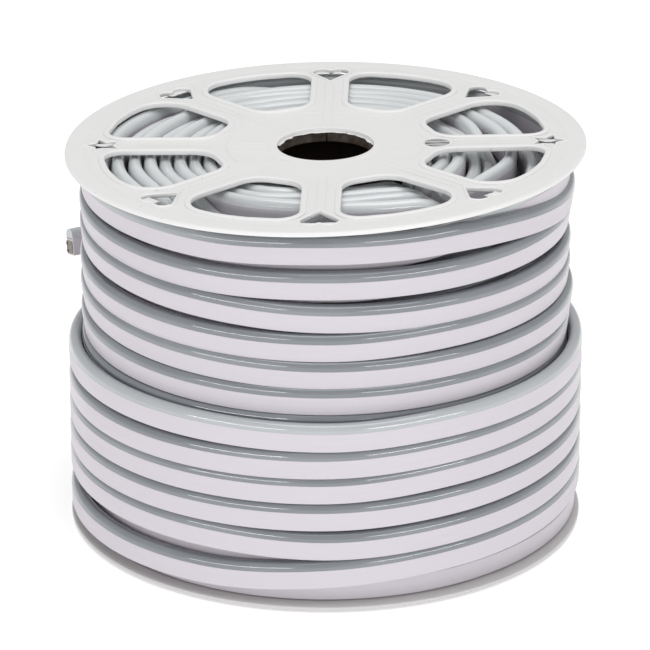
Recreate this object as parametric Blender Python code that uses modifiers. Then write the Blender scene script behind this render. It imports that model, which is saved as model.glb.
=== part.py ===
"""Reel of LED neon flex: a white PVC strip with a domed light face, wound in layers on a plastic spool.

Metres, +Z up. The reel stands on its lower flange, and its axis is the Z axis.
"""

import math

import bmesh
import bpy
from mathutils import Vector

# Spool: two like moulded flanges, held apart by a core tube
FLANGE_RADIUS = 0.150
DRUM_WIDTH = 0.2211         # clear width between the inner faces of the flanges
PLATE_THICKNESS = 0.0022
LIP_HEIGHT = 0.0004         # window lips, rim band and hub ring stand this far out of the plate
LIP_WIDTH = 0.003
RIM_BAND_WIDTH = 0.011
RIM_CHAMFER = 0.0012
BORE_RADIUS = 0.0277
HUB_RING_WIDTH = 0.0053
COLLAR_WALL = 0.002         # sleeve round the bore, on the inner face
COLLAR_DEPTH = 0.006
SPIGOT_WALL = 0.0022        # ring on the inner face that centres the core tube
SPIGOT_DEPTH = 0.004
CORE_RADIUS = 0.055
CORE_WALL = 0.004
UPPER_FLANGE_TURN = math.radians(-1.5)
FLANGE_SEGMENTS = 48
CORE_SEGMENTS = 36

# Holes of the flange: windows between the spokes, a heart or a star at each spoke's outer end
SPOKE_COUNT = 8
SPOKE_WIDTH = 0.0225
WINDOW_INNER_RADIUS = 0.0675
WINDOW_RIM = 0.0215         # plate left between a window and the flange's edge
WINDOW_INNER_CORNER = 0.0095
WINDOW_OUTER_CORNER = 0.014
HEART_INSET = 0.0285        # from the flange's edge to the heart's middle
HEART_WIDTH = 0.0195
HEART_LENGTH = 0.016
STAR_INSET = 0.022          # from the flange's edge to the star's middle
STAR_TIP = 0.0095
STAR_NOTCH = 0.0042
STAR_SPOKES = (0, 4)        # the two opposite spokes that end in a star
DRIVE_HOLE_DISTANCE = 0.064
DRIVE_HOLE_DIAMETER = 0.015
DRIVE_HOLE_SIDES = 16

# Strip and winding
STRIP_WIDTH = 0.008         # across the reel
STRIP_HEIGHT = 0.016        # along the reel's axis, dome upwards
DOME_HEIGHT = 0.005
DOME_SHOULDER = 0.0017      # how far the dome's rounding reaches in over its shoulders
LAYER_SLACK = 0.0004        # least room beside the strip in its layer
EDGE_CLEARANCE = 0.0001     # how far the last layer stays inside the flanges' edge
TOP_SLACK = 0.0023          # free height between the highest turn and the upper flange
# How far the top turn of each layer lies below the highest turn, from the core outwards
TOP_DROPS = (0.004, 0.003, 0.003, 0.002, 0.005, 0.005, 0.004, 0.004, 0.006, 0.001)
OUTER_TURNS = 6             # turns of the last layer, which covers the lower half only
OUTER_FOOT = 0.0105         # the last layer starts this far above the others
LAYER_GROOVE = 0.0015
WINDING_SEGMENTS = 36

# Free end of the strip, which springs off the back of the reel
TAIL_START_ANGLE = math.radians(22)
TAIL_LEAVE_ANGLE = math.radians(124)
TAIL_FREE_LENGTH = 0.085
TAIL_END_HEIGHT = 0.1385    # middle of the cut end above the surface that the reel stands on
TAIL_SINK = 0.001           # depth to which the free end is pressed into the layer below
TAIL_STATIONS = 14
TAIL_CLEAR_OF_END = 3       # stations that lie straight, after the strip has left the reel

# Running gap between neighbouring pieces
FIT_GAP = 0.0003

WINDOW_OUTER_RADIUS = FLANGE_RADIUS - WINDOW_RIM
HEART_RADIUS = FLANGE_RADIUS - HEART_INSET
STAR_RADIUS = FLANGE_RADIUS - STAR_INSET
FLANGE_THICKNESS = PLATE_THICKNESS + LIP_HEIGHT
LOWER_INNER_FACE = FLANGE_THICKNESS
UPPER_INNER_FACE = FLANGE_THICKNESS + DRUM_WIDTH
WINDING_FOOT = LOWER_INNER_FACE + FIT_GAP
WINDING_TOP = UPPER_INNER_FACE - TOP_SLACK
WINDING_BORE = CORE_RADIUS + FIT_GAP
OUTER_RADIUS = FLANGE_RADIUS - EDGE_CLEARANCE
ALL_LAYERS = int((OUTER_RADIUS - WINDING_BORE) / (STRIP_WIDTH + LAYER_SLACK))
LAYER_PITCH = (OUTER_RADIUS - WINDING_BORE) / ALL_LAYERS
LAYER_COUNT = ALL_LAYERS - 1    # full layers, under the last one
WINDING_RADIUS = OUTER_RADIUS - LAYER_PITCH
TURN_COUNT = int((WINDING_TOP - WINDING_FOOT) / STRIP_HEIGHT)
TURN_PITCH = (WINDING_TOP - WINDING_FOOT) / TURN_COUNT
WALL_HEIGHT = STRIP_HEIGHT - DOME_HEIGHT
SHOULDER_DROP = 0.22 * DOME_HEIGHT


def clear_scene():
    for item in list(bpy.data.objects):
        bpy.data.objects.remove(item, do_unlink=True)


def new_collection(name):
    group = bpy.data.collections.new(name)
    bpy.context.scene.collection.children.link(group)
    return group


def plastic(name, colour, roughness):
    material = bpy.data.materials.new(name)
    material.use_nodes = True
    shader = material.node_tree.nodes["Principled BSDF"]
    shader.inputs["Base Color"].default_value = (*colour, 1)
    shader.inputs["Roughness"].default_value = roughness
    shader.inputs["Metallic"].default_value = 0
    return material


def polar(radius, angle):
    return Vector((radius * math.cos(angle), radius * math.sin(angle)))


def rounded(corners):
    """Outline through corners given as (point, radius, steps), each rounded by an arc."""
    outline = []
    count = len(corners)
    for i, (point, radius, steps) in enumerate(corners):
        if radius == 0:
            outline.append(point)
            continue
        before = (corners[i - 1][0] - point).normalized()
        after = (corners[(i + 1) % count][0] - point).normalized()
        half = before.angle(after) / 2
        centre = point + (before + after).normalized() * radius / math.sin(half)
        start = point + before * radius / math.tan(half) - centre
        turn = start.angle_signed(point + after * radius / math.tan(half) - centre)
        for step in range(steps + 1):
            angle = math.atan2(start.y, start.x) - turn * step / steps
            outline.append(centre + polar(radius, angle))
    return outline


def window_outline(index, grow):
    """Petal between two spokes, larger by grow all round."""
    middle = (index + 0.5) * math.tau / SPOKE_COUNT
    half_spoke = SPOKE_WIDTH / 2 - grow
    inner = WINDOW_INNER_RADIUS - grow
    outer = WINDOW_OUTER_RADIUS + grow
    half_step = math.pi / SPOKE_COUNT
    inner_half = half_step - math.asin(half_spoke / inner)
    outer_half = half_step - math.asin(half_spoke / outer)
    inner_corner = WINDOW_INNER_CORNER + grow
    outer_corner = WINDOW_OUTER_CORNER + grow
    corners = [
        (polar(inner, middle - inner_half), inner_corner, 3),
        (polar(outer, middle - outer_half), outer_corner, 3),
        (polar(outer, middle - outer_half * 0.25), 0, 0),
        (polar(outer, middle + outer_half * 0.25), 0, 0),
        (polar(outer, middle + outer_half), outer_corner, 3),
        (polar(inner, middle + inner_half), inner_corner, 3),
    ]
    return rounded(corners)


def placed(outline, distance, angle):
    """Turns an outline drawn round the origin and moves it out along a spoke."""
    centre = polar(distance, angle)
    cosine = math.cos(angle)
    sine = math.sin(angle)
    return [centre + Vector((p.x * cosine - p.y * sine, p.x * sine + p.y * cosine)) for p in outline]


def heart_outline():
    """Heart whose point looks to the axis, at -X, with its two lobes at +X."""
    lobe = HEART_WIDTH / 4
    lobe_x = HEART_LENGTH / 2 - lobe
    half = [Vector((lobe_x, -lobe)) + polar(lobe, math.radians(angle)) for angle in (-110, -55, 0, 50)]
    other = [Vector((p.x, -p.y)) for p in reversed(half)]
    return [Vector((-HEART_LENGTH / 2, 0)), *half, Vector((lobe_x + lobe * 0.55, 0)), *other]


def star_outline():
    radii = (STAR_TIP, STAR_NOTCH)
    return [polar(radii[k % 2], k * math.pi / 5) for k in range(10)]


def circle_outline(diameter, sides):
    return [polar(diameter / 2, k * math.tau / sides) for k in range(sides)]


def slab(name, outlines, low, high, group):
    """Solid slabs with the given outlines, from one height to another, as one mesh."""
    curve = bpy.data.curves.new(name, "CURVE")
    curve.dimensions = "2D"
    curve.fill_mode = "BOTH"
    curve.extrude = (high - low) / 2
    for outline in outlines:
        spline = curve.splines.new("POLY")
        spline.points.add(len(outline) - 1)
        for point, place in zip(spline.points, outline):
            point.co = (place.x, place.y, 0, 1)
        spline.use_cyclic_u = True
    drawn = bpy.data.objects.new(name, curve)
    drawn.location.z = (low + high) / 2
    group.objects.link(drawn)
    return solid_from_curve(drawn, group)


def solid_from_curve(drawn, group):
    """Replaces a curve object by its closed mesh."""
    bpy.context.view_layer.update()
    name = drawn.name
    place = drawn.matrix_world.copy()
    mesh = bpy.data.meshes.new_from_object(drawn.evaluated_get(bpy.context.evaluated_depsgraph_get()))
    bpy.data.objects.remove(drawn, do_unlink=True)
    work = bmesh.new()
    work.from_mesh(mesh)
    bmesh.ops.remove_doubles(work, verts=work.verts, dist=1e-6)
    bmesh.ops.recalc_face_normals(work, faces=work.faces)
    work.to_mesh(mesh)
    work.free()
    solid = bpy.data.objects.new(name, mesh)
    solid.matrix_world = place
    group.objects.link(solid)
    return solid


def turned(name, profile, segments, group):
    """Ring turned from a closed profile of (radius, height) points that runs down its outer side."""
    mesh = bpy.data.meshes.new(name)
    vertices = [(radius, 0, height) for radius, height in profile]
    edges = [(k, (k + 1) % len(profile)) for k in range(len(profile))]
    mesh.from_pydata(vertices, edges, [])
    ring = bpy.data.objects.new(name, mesh)
    group.objects.link(ring)
    screw = ring.modifiers.new("turn", "SCREW")
    screw.axis = "Z"
    screw.angle = math.tau
    screw.steps = segments
    screw.render_steps = segments
    screw.use_merge_vertices = True
    screw.merge_threshold = 1e-6
    screw.use_smooth_shade = True
    return ring


def combine(target, other, operation):
    boolean = target.modifiers.new(operation.lower(), "BOOLEAN")
    boolean.operation = operation
    boolean.solver = "EXACT"
    boolean.object = other
    other.hide_render = True
    other.display_type = "WIRE"


def finish(item, material):
    item.data.materials.clear()
    item.data.materials.append(material)
    item.data.shade_smooth()
    item.data.set_sharp_from_angle(angle=math.radians(35))


def flange_profile():
    """Section of a flange whose inner face lies at height 0 and whose outer face looks up."""
    hub = BORE_RADIUS + HUB_RING_WIDTH
    band = FLANGE_RADIUS - RIM_BAND_WIDTH
    spigot_outer = CORE_RADIUS - CORE_WALL - FIT_GAP
    spigot_inner = spigot_outer - SPIGOT_WALL
    collar = BORE_RADIUS + COLLAR_WALL
    return [
        (BORE_RADIUS, FLANGE_THICKNESS),
        (hub, FLANGE_THICKNESS),
        (hub, PLATE_THICKNESS),
        (band, PLATE_THICKNESS),
        (band, FLANGE_THICKNESS),
        (FLANGE_RADIUS - RIM_CHAMFER, FLANGE_THICKNESS),
        (FLANGE_RADIUS, FLANGE_THICKNESS - RIM_CHAMFER),
        (FLANGE_RADIUS, 0),
        (spigot_outer, 0),
        (spigot_outer, -SPIGOT_DEPTH),
        (spigot_inner, -SPIGOT_DEPTH),
        (spigot_inner, 0),
        (collar, 0),
        (collar, -COLLAR_DEPTH),
        (BORE_RADIUS, -COLLAR_DEPTH),
    ]


def flange_mesh(cutters):
    """One moulded flange: turned plate, window lips on its outer face, and its holes."""
    blank = turned("flange_blank", flange_profile(), FLANGE_SEGMENTS, cutters)
    windows = range(SPOKE_COUNT)
    lip_outlines = [window_outline(k, LIP_WIDTH) for k in windows]
    lips = slab("window_lips", lip_outlines, PLATE_THICKNESS / 2, FLANGE_THICKNESS, cutters)
    holes = [window_outline(k, 0) for k in windows]
    for k in range(SPOKE_COUNT):
        angle = k * math.tau / SPOKE_COUNT
        if k in STAR_SPOKES:
            holes.append(placed(star_outline(), STAR_RADIUS, angle))
        else:
            holes.append(placed(heart_outline(), HEART_RADIUS, angle))
    holes.append(placed(circle_outline(DRIVE_HOLE_DIAMETER, DRIVE_HOLE_SIDES), DRIVE_HOLE_DISTANCE, 0))
    punch = slab("flange_holes", holes, -PLATE_THICKNESS, FLANGE_THICKNESS + PLATE_THICKNESS, cutters)
    combine(blank, lips, "UNION")
    combine(blank, punch, "DIFFERENCE")
    bpy.context.view_layer.update()
    mesh = bpy.data.meshes.new_from_object(blank.evaluated_get(bpy.context.evaluated_depsgraph_get()))
    mesh.name = "reel_flange"
    blank.hide_render = True
    blank.display_type = "WIRE"
    return mesh


def make_flanges(parts, cutters, material):
    mesh = flange_mesh(cutters)
    upper = bpy.data.objects.new("reel_flange_top", mesh)
    upper.location.z = UPPER_INNER_FACE
    upper.rotation_euler.z = UPPER_FLANGE_TURN
    lower = bpy.data.objects.new("reel_flange_bottom", mesh)
    lower.location.z = LOWER_INNER_FACE
    lower.rotation_euler.x = math.pi
    for flange in (upper, lower):
        parts.objects.link(flange)
    finish(upper, material)


def make_core(parts, material):
    low = LOWER_INNER_FACE + FIT_GAP
    high = UPPER_INNER_FACE - FIT_GAP
    inner = CORE_RADIUS - CORE_WALL
    profile = [(inner, high), (CORE_RADIUS, high), (CORE_RADIUS, low), (inner, low)]
    core = turned("reel_core", profile, CORE_SEGMENTS, parts)
    finish(core, material)


def layer_tops(first_radius, crowns):
    """Domes of the top turns, whose crowns are given from the inner layer to the outer one."""
    points = []
    for layer, crown in enumerate(crowns):
        inner = first_radius + layer * LAYER_PITCH
        before = crowns[max(layer - 1, 0)]
        if before != crown:
            points.append((inner, before - DOME_HEIGHT))
        points.append((inner, crown - DOME_HEIGHT))
        points.append((inner + DOME_SHOULDER, crown - SHOULDER_DROP))
        points.append((inner + LAYER_PITCH / 2, crown))
        points.append((inner + LAYER_PITCH - DOME_SHOULDER, crown - SHOULDER_DROP))
    return points


def layer_sides(radius, top, turns):
    """Outer side of some turns, from the top one down, each a wall under a dome."""
    points = []
    for turn in range(turns):
        foot = top - (turn + 1) * TURN_PITCH
        if turn > 0:
            points.append((radius - STRIP_WIDTH / 2, foot + STRIP_HEIGHT))
        points.append((radius, foot + WALL_HEIGHT))
        points.append((radius, foot))
    return points


def layer_feet(first_radius, count, foot):
    """Undersides of the lowest turns, from the outer layer to the inner one, with a groove between."""
    points = []
    for layer in range(count - 1, 0, -1):
        seam = first_radius + layer * LAYER_PITCH
        points.append((seam + LAYER_GROOVE / 2, foot))
        points.append((seam, foot + LAYER_GROOVE))
        points.append((seam - LAYER_GROOVE / 2, foot))
    return points


def winding_profile():
    """Section of the wound strip: full layers, and the last layer over the lower half."""
    step = WINDING_FOOT + OUTER_FOOT + OUTER_TURNS * TURN_PITCH
    open_turns = int((WINDING_TOP - step) / TURN_PITCH)
    shared_foot = WINDING_TOP - (open_turns + 1) * TURN_PITCH
    crowns = [WINDING_TOP - TOP_DROPS[layer % len(TOP_DROPS)] for layer in range(LAYER_COUNT)]
    profile = layer_tops(WINDING_BORE, crowns)
    profile += layer_sides(WINDING_RADIUS, WINDING_TOP, open_turns)
    profile.append((WINDING_RADIUS - STRIP_WIDTH / 2, shared_foot + STRIP_HEIGHT))
    profile.append((WINDING_RADIUS, max(shared_foot + WALL_HEIGHT, step - DOME_HEIGHT / 2)))
    profile += layer_tops(WINDING_RADIUS, [step])
    profile += layer_sides(OUTER_RADIUS, step, OUTER_TURNS)
    profile.append((WINDING_RADIUS, step - OUTER_TURNS * TURN_PITCH))
    profile.append((WINDING_RADIUS, WINDING_FOOT))
    profile += layer_feet(WINDING_BORE, LAYER_COUNT, WINDING_FOOT)
    profile.append((WINDING_BORE, WINDING_FOOT))
    return profile


def tail_route():
    """Middle line of the free end: along the reel's back, climbing, then straight off it."""
    radius = WINDING_RADIUS - TAIL_SINK + STRIP_WIDTH / 2
    start_height = WINDING_FOOT + OUTER_FOOT + OUTER_TURNS * TURN_PITCH - STRIP_HEIGHT / 2 - TAIL_SINK
    wound = radius * (TAIL_LEAVE_ANGLE - TAIL_START_ANGLE)
    length = wound + TAIL_FREE_LENGTH
    leave = polar(radius, TAIL_LEAVE_ANGLE)
    forward = polar(1, TAIL_LEAVE_ANGLE + math.pi / 2)
    wound_stations = TAIL_STATIONS - TAIL_CLEAR_OF_END
    lengths = [wound * k / wound_stations for k in range(wound_stations + 1)]
    lengths += [wound + TAIL_FREE_LENGTH * (k + 1) / TAIL_CLEAR_OF_END for k in range(TAIL_CLEAR_OF_END)]
    route = []
    for along in lengths:
        share = along / length
        height = start_height + (TAIL_END_HEIGHT - start_height) * share * share * (3 - 2 * share)
        if along <= wound:
            place = polar(radius, TAIL_START_ANGLE + along / radius)
        else:
            place = leave + forward * (along - wound)
        route.append((place.x, place.y, height))
    return route


def strip_section():
    """Strip across its length: flat back and walls below, dome above, drawn round its middle."""
    half_width = STRIP_WIDTH / 2
    half_height = STRIP_HEIGHT / 2
    wall_top = half_height - DOME_HEIGHT
    section = [(-half_width, -half_height), (half_width, -half_height)]
    for k in range(5):
        angle = math.pi * k / 4
        section.append((half_width * math.cos(angle), wall_top + DOME_HEIGHT * math.sin(angle)))
    return section


def poly_curve(name, points, cyclic):
    curve = bpy.data.curves.new(name, "CURVE")
    curve.dimensions = "3D"
    spline = curve.splines.new("POLY")
    spline.points.add(len(points) - 1)
    for point, place in zip(spline.points, points):
        point.co = (*place, 1)
    spline.use_cyclic_u = cyclic
    return curve


def make_tail(group):
    """The strip's free end as a solid of its own, to be joined to the winding."""
    section = poly_curve("tail_section", [(x, y, 0) for x, y in strip_section()], True)
    section_object = bpy.data.objects.new("tail_section", section)
    group.objects.link(section_object)
    section_object.hide_render = True
    section_object.display_type = "WIRE"
    path = poly_curve("strip_free_end", tail_route(), False)
    path.bevel_mode = "OBJECT"
    path.bevel_object = section_object
    path.use_fill_caps = True
    path.twist_mode = "Z_UP"
    tail = bpy.data.objects.new("strip_free_end", path)
    group.objects.link(tail)
    return solid_from_curve(tail, group)


def make_winding(parts, cutters, material):
    winding = turned("neon_flex_winding", winding_profile(), WINDING_SEGMENTS, parts)
    combine(winding, make_tail(cutters), "UNION")
    finish(winding, material)


def build():
    clear_scene()
    parts = new_collection("led_neon_flex_reel")
    cutters = new_collection("cutters")
    make_flanges(parts, cutters, plastic("flange_plastic", (0.78, 0.77, 0.75), 0.45))
    make_core(parts, plastic("core_board", (0.05, 0.035, 0.028), 0.8))
    make_winding(parts, cutters, plastic("strip_pvc", (0.72, 0.70, 0.74), 0.35))


build()
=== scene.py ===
"""Looks of a reel of LED neon flex: white PVC strip with a milky domed light face, wound on a windowed reel.

Metres, +Z up. The reel stands on its lower flange, its axis is the Z axis, and -Y is its front.
"""

import math

import bmesh
import bpy
import numpy as np
from mathutils import Matrix, Vector


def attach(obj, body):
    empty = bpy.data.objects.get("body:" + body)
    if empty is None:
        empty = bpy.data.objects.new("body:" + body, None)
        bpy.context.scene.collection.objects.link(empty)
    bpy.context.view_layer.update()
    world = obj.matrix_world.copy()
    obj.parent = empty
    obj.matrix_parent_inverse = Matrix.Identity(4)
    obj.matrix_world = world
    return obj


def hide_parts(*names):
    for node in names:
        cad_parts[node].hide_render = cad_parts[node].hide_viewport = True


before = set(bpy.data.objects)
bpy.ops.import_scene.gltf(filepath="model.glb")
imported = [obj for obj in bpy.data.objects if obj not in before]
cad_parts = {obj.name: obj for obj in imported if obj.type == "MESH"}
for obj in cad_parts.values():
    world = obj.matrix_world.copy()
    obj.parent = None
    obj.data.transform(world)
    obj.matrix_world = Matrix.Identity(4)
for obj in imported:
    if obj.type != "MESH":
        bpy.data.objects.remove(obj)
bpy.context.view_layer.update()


# The view. The reel is seen from the front and a little above through a long lens,
# so that both flanges stay nearly as wide as each other.
CAMERA_HEIGHT_OF_AIM = 0.11412
CAMERA_SIDE = -0.00024
CAMERA_DISTANCE = 2.7009
CAMERA_ELEVATION = math.radians(21.75)
CAMERA_LENS = 256.1
CAMERA_SENSOR = 36


def linked(name, data):
    """New object with some data, in the scene."""
    made = bpy.data.objects.new(name, data)
    bpy.context.scene.collection.objects.link(made)
    return made


camera_data = bpy.data.cameras.new("camera")
camera_data.lens = CAMERA_LENS
camera_data.sensor_width = CAMERA_SENSOR
camera = linked("camera", camera_data)
camera.location = (
    CAMERA_SIDE,
    -CAMERA_DISTANCE * math.cos(CAMERA_ELEVATION),
    CAMERA_HEIGHT_OF_AIM + CAMERA_DISTANCE * math.sin(CAMERA_ELEVATION),
)
camera.rotation_euler = (math.pi / 2 - CAMERA_ELEVATION, 0, 0)
bpy.context.scene.camera = camera


# Core tube. A wound board tube, dark brown, that the two flanges are pressed into.
# Its paper was wound in a slanting band, whose seam runs round it as a faint line.
BOARD_DARK = (0.020, 0.011, 0.008, 1)
BOARD_LIGHT = (0.075, 0.048, 0.034, 1)
BOARD_SEAM_PITCH = 0.07
BOARD_SEAM_WIDTH = 0.02     # as a share of the pitch
BOARD_FIBRES = 900


def new_material(name):
    """New material, its node tree and its Principled shader."""
    material = bpy.data.materials.new(name)
    material.use_nodes = True
    return material, material.node_tree, material.node_tree.nodes["Principled BSDF"]


def add(tree, kind, **settings):
    made = tree.nodes.new(kind)
    for name, value in settings.items():
        setattr(made, name, value)
    return made


def feed(tree, source, target):
    """Links a socket to another, or sets a value on it."""
    if isinstance(source, bpy.types.NodeSocket):
        tree.links.new(source, target)
    else:
        target.default_value = source


def calculate(tree, operation, *values):
    made = add(tree, "ShaderNodeMath", operation=operation)
    for value, socket in zip(values, made.inputs):
        feed(tree, value, socket)
    return made.outputs[0]


def scaled_range(tree, value, low, high, new_low=0.0, new_high=1.0):
    """Maps a stretch of values to another one, smoothly at both ends."""
    made = add(tree, "ShaderNodeMapRange", interpolation_type="SMOOTHSTEP")
    for source, socket in zip((value, low, high, new_low, new_high), made.inputs):
        feed(tree, source, socket)
    return made.outputs["Result"]


def mixed(tree, share, first, second):
    made = add(tree, "ShaderNodeMix", data_type="RGBA")
    feed(tree, share, made.inputs["Factor"])
    feed(tree, first, made.inputs["A"])
    feed(tree, second, made.inputs["B"])
    return made.outputs["Result"]


def noise(tree, place, scale, detail=2.0, roughness=0.5):
    made = add(tree, "ShaderNodeTexNoise")
    feed(tree, place, made.inputs["Vector"])
    feed(tree, scale, made.inputs["Scale"])
    feed(tree, detail, made.inputs["Detail"])
    feed(tree, roughness, made.inputs["Roughness"])
    return made.outputs["Fac"]


def bump(tree, height, distance, strength, shader):
    made = add(tree, "ShaderNodeBump")
    made.inputs["Distance"].default_value = distance
    made.inputs["Strength"].default_value = strength
    feed(tree, height, made.inputs["Height"])
    tree.links.new(made.outputs["Normal"], shader.inputs["Normal"])


def place_of(tree):
    return add(tree, "ShaderNodeTexCoord").outputs["Object"]


def board_material():
    material, tree, shader = new_material("core_board")
    place = place_of(tree)
    parts = add(tree, "ShaderNodeSeparateXYZ")
    feed(tree, place, parts.inputs[0])
    turn = calculate(tree, "ARCTAN2", parts.outputs["Y"], parts.outputs["X"])
    rise = calculate(tree, "MULTIPLY", turn, BOARD_SEAM_PITCH / math.tau)
    wound = calculate(tree, "ADD", parts.outputs["Z"], rise)
    along = calculate(tree, "FRACT", calculate(tree, "DIVIDE", wound, BOARD_SEAM_PITCH))
    off_seam = calculate(tree, "ABSOLUTE", calculate(tree, "SUBTRACT", along, 0.5))
    seam = scaled_range(tree, off_seam, 0.0, BOARD_SEAM_WIDTH, 1.0, 0.0)
    fibre = noise(tree, place, BOARD_FIBRES, 3.0, 0.6)
    colour = mixed(tree, fibre, BOARD_DARK, BOARD_LIGHT)
    colour = mixed(tree, calculate(tree, "MULTIPLY", seam, 0.6), colour, BOARD_DARK)
    feed(tree, colour, shader.inputs["Base Color"])
    feed(tree, scaled_range(tree, fibre, 0.3, 0.7, 0.78, 0.92), shader.inputs["Roughness"])
    height = calculate(tree, "SUBTRACT", calculate(tree, "MULTIPLY", fibre, 0.3), seam)
    bump(tree, height, 0.0003, 0.6, shader)
    return material


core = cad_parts["reel_core"]
core.data.materials.clear()
core.data.materials.append(board_material())


# Flanges. Two like mouldings of off-white plastic, each pressed onto one end of the core: a plate with
# a raised rim band, rounded beads round eight windows, hearts and stars at the spokes' ends, and a
# collar round the bore. Thin flash from the mould still hangs in the bore, the hearts and the stars.
FLANGE_RADIUS = 0.150
PLATE_THICKNESS = 0.0022
FLANGE_THICKNESS = 0.0026
PLATE_EDGE = 0.0007         # rounding of the plate's edges
BORE_RADIUS = 0.0277
HUB_RING_WIDTH = 0.0053
COLLAR_WALL = 0.002
COLLAR_DEPTH = 0.006
COLLAR_SLIT = math.radians(1.6)
SPIGOT_RADIUS = 0.0507
SPIGOT_WALL = 0.0022
SPIGOT_DEPTH = 0.004
RIM_BAND_WIDTH = 0.011
SPOKE_COUNT = 8
SPOKE_WIDTH = 0.0225
WINDOW_INNER_RADIUS = 0.0675
WINDOW_OUTER_RADIUS = 0.129
WINDOW_INNER_CORNER = 0.0150
# Rounding of the windows' outer corners beside each spoke, tightest beside the two stars
OUTER_CORNERS = (0.0105, 0.018, 0.012, 0.018, 0.0105, 0.018, 0.012, 0.018)
BEAD_WIDTH = 0.0036
BEAD_HEIGHT = 0.0013        # how far a bead stands over the plate
BEAD_ROOT = 0.0012          # and how deep it is sunk in it
BORDER_GAP = 0.001          # from a small hole's edge to its border's middle
BORDER_HALF_WIDTH = 0.0011
BORDER_HEIGHT = 0.00070
BORDER_ROOT = 0.0010
HEART_RADIUS = 0.1245
HEART_WIDTH = 0.0215
HEART_LENGTH = 0.021
STAR_RADIUS = 0.128
# Side to side reach of the flash in each spoke's heart, and how far out its torn edge lies
HEART_FLASH = {
    1: (-0.0100, 0.0010, 0.0070), 2: (-0.0060, 0.0100, 0.0082), 3: (-0.0100, 0.0020, 0.0060),
    5: (-0.0100, -0.0005, 0.0030), 6: (-0.0104, 0.0104, 0.0044), 7: (0.0005, 0.0100, 0.0035),
}
HEART_FLASH_ROOT = 0.0106
STAR_TIP = 0.0115
STAR_NOTCH = 0.0054
STAR_SPOKES = (0, 4)
# The flash on either side of a star, as (out, sideways) points from the star's middle
STAR_FLASH = (
    (-0.0055, 0.0045), (-0.0015, 0.0012), (0.0018, 0.0013),
    (0.0075, 0.0042), (0.0070, 0.0058), (-0.0050, 0.0058),
)
DRIVE_HOLE_DISTANCE = 0.064
DRIVE_HOLE_DIAMETER = 0.015
RIDGE_SPACING = 0.0048      # between the two faint ridges along each spoke
RIDGE_REACH = (0.0345, 0.109)
RIDGE_RADIUS = 0.0003
RIDGE_ROOT = 0.0004
ROOT = 0.0004               # how deep the collar and the spigot reach into the plate
RIM_STEPS = 240
BORE_STEPS = 96
HUB_RIDGE_RADIUS = 0.057
UPPER_TURN = math.radians(-1.5)
UPPER_LEAN = math.radians(-0.86)    # the upper flange sits a little higher on its right side
WARP_LIFT = 0.0028          # how far its rim is bent up where the last top turn pushes it
WARP_ANGLE = math.radians(-45)
UPPER_INNER_FACE = 0.2237
LOWER_INNER_FACE = 0.0026
FLASH_THICKNESS = 0.00025
FLANGE_WHITE = (0.745, 0.742, 0.738, 1)
FLANGE_SHADE = (0.715, 0.708, 0.700, 1)
FLANGE_SPECK = (0.420, 0.400, 0.370, 1)
FLANGE_LOW_SHADE = (0.560, 0.550, 0.545, 1)    # painted shade: the lower flange is painted darker towards the floor, for the shade it stands in
# Painted shade: the collar down in the bore is painted dark for the deep shade there
COLLAR_PAINTED_SHADE = (0.160, 0.140, 0.122, 1)


def polar(radius, angle):
    return Vector((radius * math.cos(angle), radius * math.sin(angle)))


def rounded(corners):
    """Outline through corners given as (point, radius, steps), each rounded by an arc."""
    outline = []
    count = len(corners)
    for i, (point, radius, steps) in enumerate(corners):
        if radius == 0:
            outline.append(point)
            continue
        before = (corners[i - 1][0] - point).normalized()
        after = (corners[(i + 1) % count][0] - point).normalized()
        half = before.angle(after) / 2
        centre = point + (before + after).normalized() * radius / math.sin(half)
        start = point + before * radius / math.tan(half) - centre
        turn = start.angle_signed(point + after * radius / math.tan(half) - centre)
        for step in range(steps + 1):
            angle = math.atan2(start.y, start.x) - turn * step / steps
            outline.append(centre + polar(radius, angle))
    return outline


def window_outline(index, grow):
    """Petal between two spokes, larger by grow all round."""
    middle = (index + 0.5) * math.tau / SPOKE_COUNT
    half_spoke = SPOKE_WIDTH / 2 - grow
    inner = WINDOW_INNER_RADIUS - grow
    outer = WINDOW_OUTER_RADIUS + grow
    half_step = math.pi / SPOKE_COUNT
    inner_half = half_step - math.asin(half_spoke / inner)
    outer_half = half_step - math.asin(half_spoke / outer)
    inner_corner = WINDOW_INNER_CORNER + grow
    first_corner = OUTER_CORNERS[index] + grow
    second_corner = OUTER_CORNERS[(index + 1) % SPOKE_COUNT] + grow
    corners = [
        (polar(inner, middle - inner_half), inner_corner, 10),
        (polar(outer, middle - outer_half), first_corner, 12),
    ]
    for share in (-0.25, -0.12, 0, 0.12, 0.25):
        corners.append((polar(outer, middle + outer_half * share), 0, 0))
    corners.append((polar(outer, middle + outer_half), second_corner, 12))
    corners.append((polar(inner, middle + inner_half), inner_corner, 10))
    return rounded(corners)


def placed(outline, distance, angle):
    """Turns an outline drawn round the origin and moves it out along a spoke."""
    centre = polar(distance, angle)
    cosine = math.cos(angle)
    sine = math.sin(angle)
    return [centre + Vector((p.x * cosine - p.y * sine, p.x * sine + p.y * cosine)) for p in outline]


def heart_outline(grow):
    """Heart whose point looks to the axis, at -X, with its two lobes at +X."""
    lobe = HEART_WIDTH / 4
    lobe_x = HEART_LENGTH / 2 - lobe
    angles = [math.radians(-112 + 16.2 * k) for k in range(11)]
    half = [Vector((lobe_x, -lobe)) + polar(lobe + grow, angle) for angle in angles]
    other = [Vector((p.x, -p.y)) for p in reversed(half)]
    tip = Vector((-HEART_LENGTH / 2 - grow * 1.5, 0))
    notch = Vector((lobe_x + lobe * 0.55 + grow, 0))
    return [tip, *half, notch, *other]


def star_outline(grow):
    radii = (STAR_TIP + grow, STAR_NOTCH + grow)
    corners = [(polar(radii[k % 2], k * math.pi / 5), 0.0005 + grow * 0.4, 3) for k in range(10)]
    return rounded(corners)


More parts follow.
